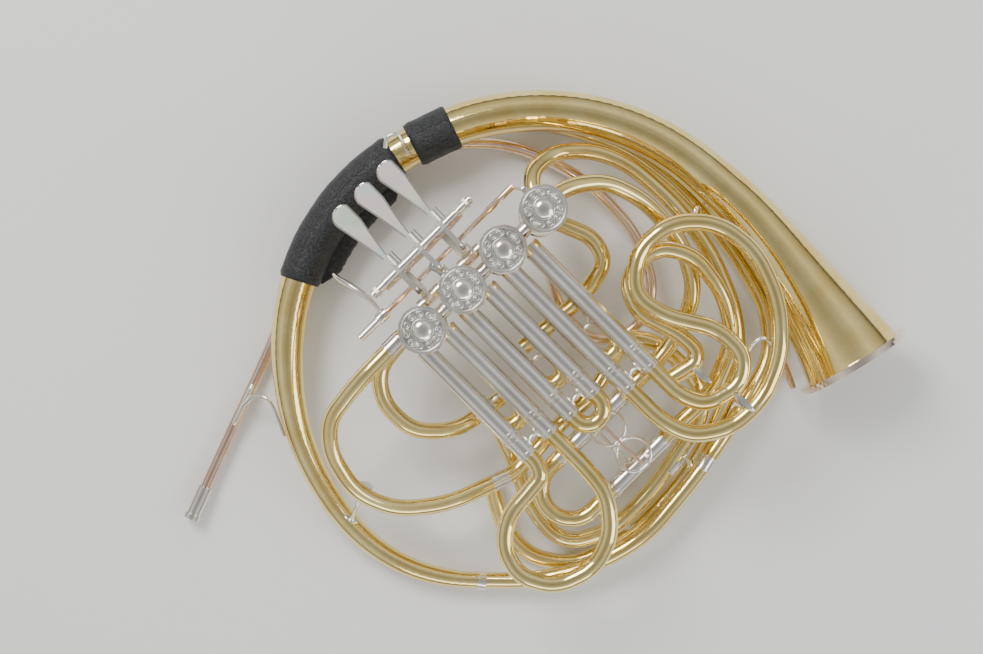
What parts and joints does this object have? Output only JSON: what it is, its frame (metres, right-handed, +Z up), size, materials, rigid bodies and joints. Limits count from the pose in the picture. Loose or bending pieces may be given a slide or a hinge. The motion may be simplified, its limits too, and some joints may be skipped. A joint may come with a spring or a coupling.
{
  "type": "french horn",
  "caption": "Double French horn with rotary valves, sprung finger and thumb levers, sliding tuning crooks and a screw ring for a detachable bell flare, lying on its back.",
  "frame": {"origin": "middle of the underside of the whole horn as it lies on its back", "axes": "+Z up through the valve caps, +X from the mouthpiece end towards the bell ring, +Y to the top of the bell branch loop"},
  "size_m": [0.5315, 0.3708, 0.1203],
  "materials": {
    "lacquered_brass": "polished and lacquered",
    "nickel_silver": "polished",
    "rose_brass": "polished and lacquered",
    "guard_leather": "grained"
  },
  "bodies": {
    "horn": {"bell_branch": "lacquered_brass", "bell_throat": "lacquered_brass", "bell_ring": "nickel_silver", "bell_ferrule": "nickel_silver", "hand_guard": "guard_leather", "leadpipe": "rose_brass", "mouthpiece_receiver": "nickel_silver", "leadpipe_brace": "nickel_silver", "finger_hook": "nickel_silver", "outer_branch": "lacquered_brass", "second_branch": "lacquered_brass", "third_branch": "lacquered_brass", "inner_crook": "lacquered_brass", "left_branch": "lacquered_brass", "lower_branch": "lacquered_brass", "inner_left_branch": "lacquered_brass", "change_crook": "lacquered_brass", "valve_casing_1": "lacquered_brass", "valve_cap_1": "nickel_silver", "valve_casing_2": "lacquered_brass", "valve_cap_2": "nickel_silver", "valve_casing_3": "lacquered_brass", "valve_cap_3": "nickel_silver", "valve_casing_4": "lacquered_brass", "valve_cap_4": "nickel_silver", "f_sleeves_1": "nickel_silver", "b_sleeves_1": "nickel_silver", "f_sleeves_2": "nickel_silver", "b_sleeves_2": "nickel_silver", "f_sleeves_3": "nickel_silver", "b_sleeves_3": "nickel_silver", "tuning_sleeves": "nickel_silver", "hinge_rod": "nickel_silver", "lever_posts": "nickel_silver", "knuckles": "nickel_silver", "pull_rings": "nickel_silver"},
    "finger_lever_1": {"lever_1": "nickel_silver"},
    "f_slide_1": {"f_legs_1": "nickel_silver", "f_crook_1": "lacquered_brass"},
    "b_flat_slide_1": {"b_legs_1": "nickel_silver", "b_crook_1": "lacquered_brass"},
    "finger_lever_2": {"lever_2": "nickel_silver"},
    "f_slide_2": {"f_legs_2": "nickel_silver", "f_crook_2": "lacquered_brass"},
    "b_flat_slide_2": {"b_legs_2": "nickel_silver", "b_crook_2": "lacquered_brass"},
    "finger_lever_3": {"lever_3": "nickel_silver"},
    "f_slide_3": {"f_legs_3": "nickel_silver", "f_crook_3": "lacquered_brass"},
    "b_flat_slide_3": {"b_legs_3": "nickel_silver", "b_crook_3": "lacquered_brass"},
    "valve_rotor_1": {"rotor_1": "lacquered_brass"},
    "valve_rotor_2": {"rotor_2": "lacquered_brass"},
    "valve_rotor_3": {"rotor_3": "lacquered_brass"},
    "valve_rotor_4": {"rotor_4": "lacquered_brass"},
    "thumb_key": {"thumb_lever": "nickel_silver"},
    "main_tuning_slide": {"tuning_slide": "lacquered_brass"}
  },
  "joints": [
    {"name": "press_lever_1", "type": "hinge", "parent": "horn", "child": "finger_lever_1", "pos_m": [-0.09939, 0.05062, 0.10646], "axis": [-0.7071, -0.7071, 0], "range_deg": [0, 8], "stiffness_Nm_per_rad": 0.6, "springref_deg": -6.88},
    {"name": "press_lever_2", "type": "hinge", "parent": "horn", "child": "finger_lever_2", "pos_m": [-0.08411, 0.06589, 0.10646], "axis": [-0.7071, -0.7071, 0], "range_deg": [0, 8], "stiffness_Nm_per_rad": 0.6, "springref_deg": -6.88},
    {"name": "press_lever_3", "type": "hinge", "parent": "horn", "child": "finger_lever_3", "pos_m": [-0.06884, 0.08116, 0.10646], "axis": [-0.7071, -0.7071, 0], "range_deg": [0, 8], "stiffness_Nm_per_rad": 0.6, "springref_deg": -6.88},
    {"name": "press_thumb_lever", "type": "hinge", "parent": "horn", "child": "thumb_key", "pos_m": [-0.06212, 0.06822, 0.09046], "axis": [-0.7071, -0.7071, 0], "range_deg": [0, 8], "stiffness_Nm_per_rad": 0.6, "springref_deg": -6.88},
    {"name": "turn_rotor_1", "type": "hinge", "parent": "horn", "child": "valve_rotor_1", "pos_m": [-0.08242, 0.00932, 0.05046], "axis": [0, 0, 1], "range_deg": [0, 90]},
    {"name": "turn_rotor_2", "type": "hinge", "parent": "horn", "child": "valve_rotor_2", "pos_m": [-0.05456, 0.03718, 0.05046], "axis": [0, 0, 1], "range_deg": [0, 90]},
    {"name": "turn_rotor_3", "type": "hinge", "parent": "horn", "child": "valve_rotor_3", "pos_m": [-0.0267, 0.06504, 0.05046], "axis": [0, 0, 1], "range_deg": [0, 90]},
    {"name": "turn_rotor_4", "type": "hinge", "parent": "horn", "child": "valve_rotor_4", "pos_m": [0.00116, 0.0929, 0.05046], "axis": [0, 0, 1], "range_deg": [0, 90]},
    {"name": "pull_f_slide_1", "type": "slide", "parent": "horn", "child": "f_slide_1", "axis": [0.7071, -0.7071, 0], "range_m": [0, 0.025]},
    {"name": "pull_b_flat_slide_1", "type": "slide", "parent": "horn", "child": "b_flat_slide_1", "axis": [0.7071, -0.7071, 0], "range_m": [0, 0.02]},
    {"name": "pull_f_slide_2", "type": "slide", "parent": "horn", "child": "f_slide_2", "axis": [0.7071, -0.7071, 0], "range_m": [0, 0.025]},
    {"name": "pull_b_flat_slide_2", "type": "slide", "parent": "horn", "child": "b_flat_slide_2", "axis": [0.7071, -0.7071, 0], "range_m": [0, 0.02]},
    {"name": "pull_f_slide_3", "type": "slide", "parent": "horn", "child": "f_slide_3", "axis": [0.7071, -0.7071, 0], "range_m": [0, 0.025]},
    {"name": "pull_b_flat_slide_3", "type": "slide", "parent": "horn", "child": "b_flat_slide_3", "axis": [0.7071, -0.7071, 0], "range_m": [0, 0.02]},
    {"name": "pull_main_tuning_slide", "type": "slide", "parent": "horn", "child": "main_tuning_slide", "axis": [-0.7071, -0.7071, 0], "range_m": [0, 0.02]}
  ],
  "couplings": [
    {"joint": "turn_rotor_1", "follows": "press_lever_1", "ratio": 11.25},
    {"joint": "turn_rotor_2", "follows": "press_lever_2", "ratio": 11.25},
    {"joint": "turn_rotor_3", "follows": "press_lever_3", "ratio": 11.25},
    {"joint": "turn_rotor_4", "follows": "press_thumb_lever", "ratio": 11.25}
  ]
}
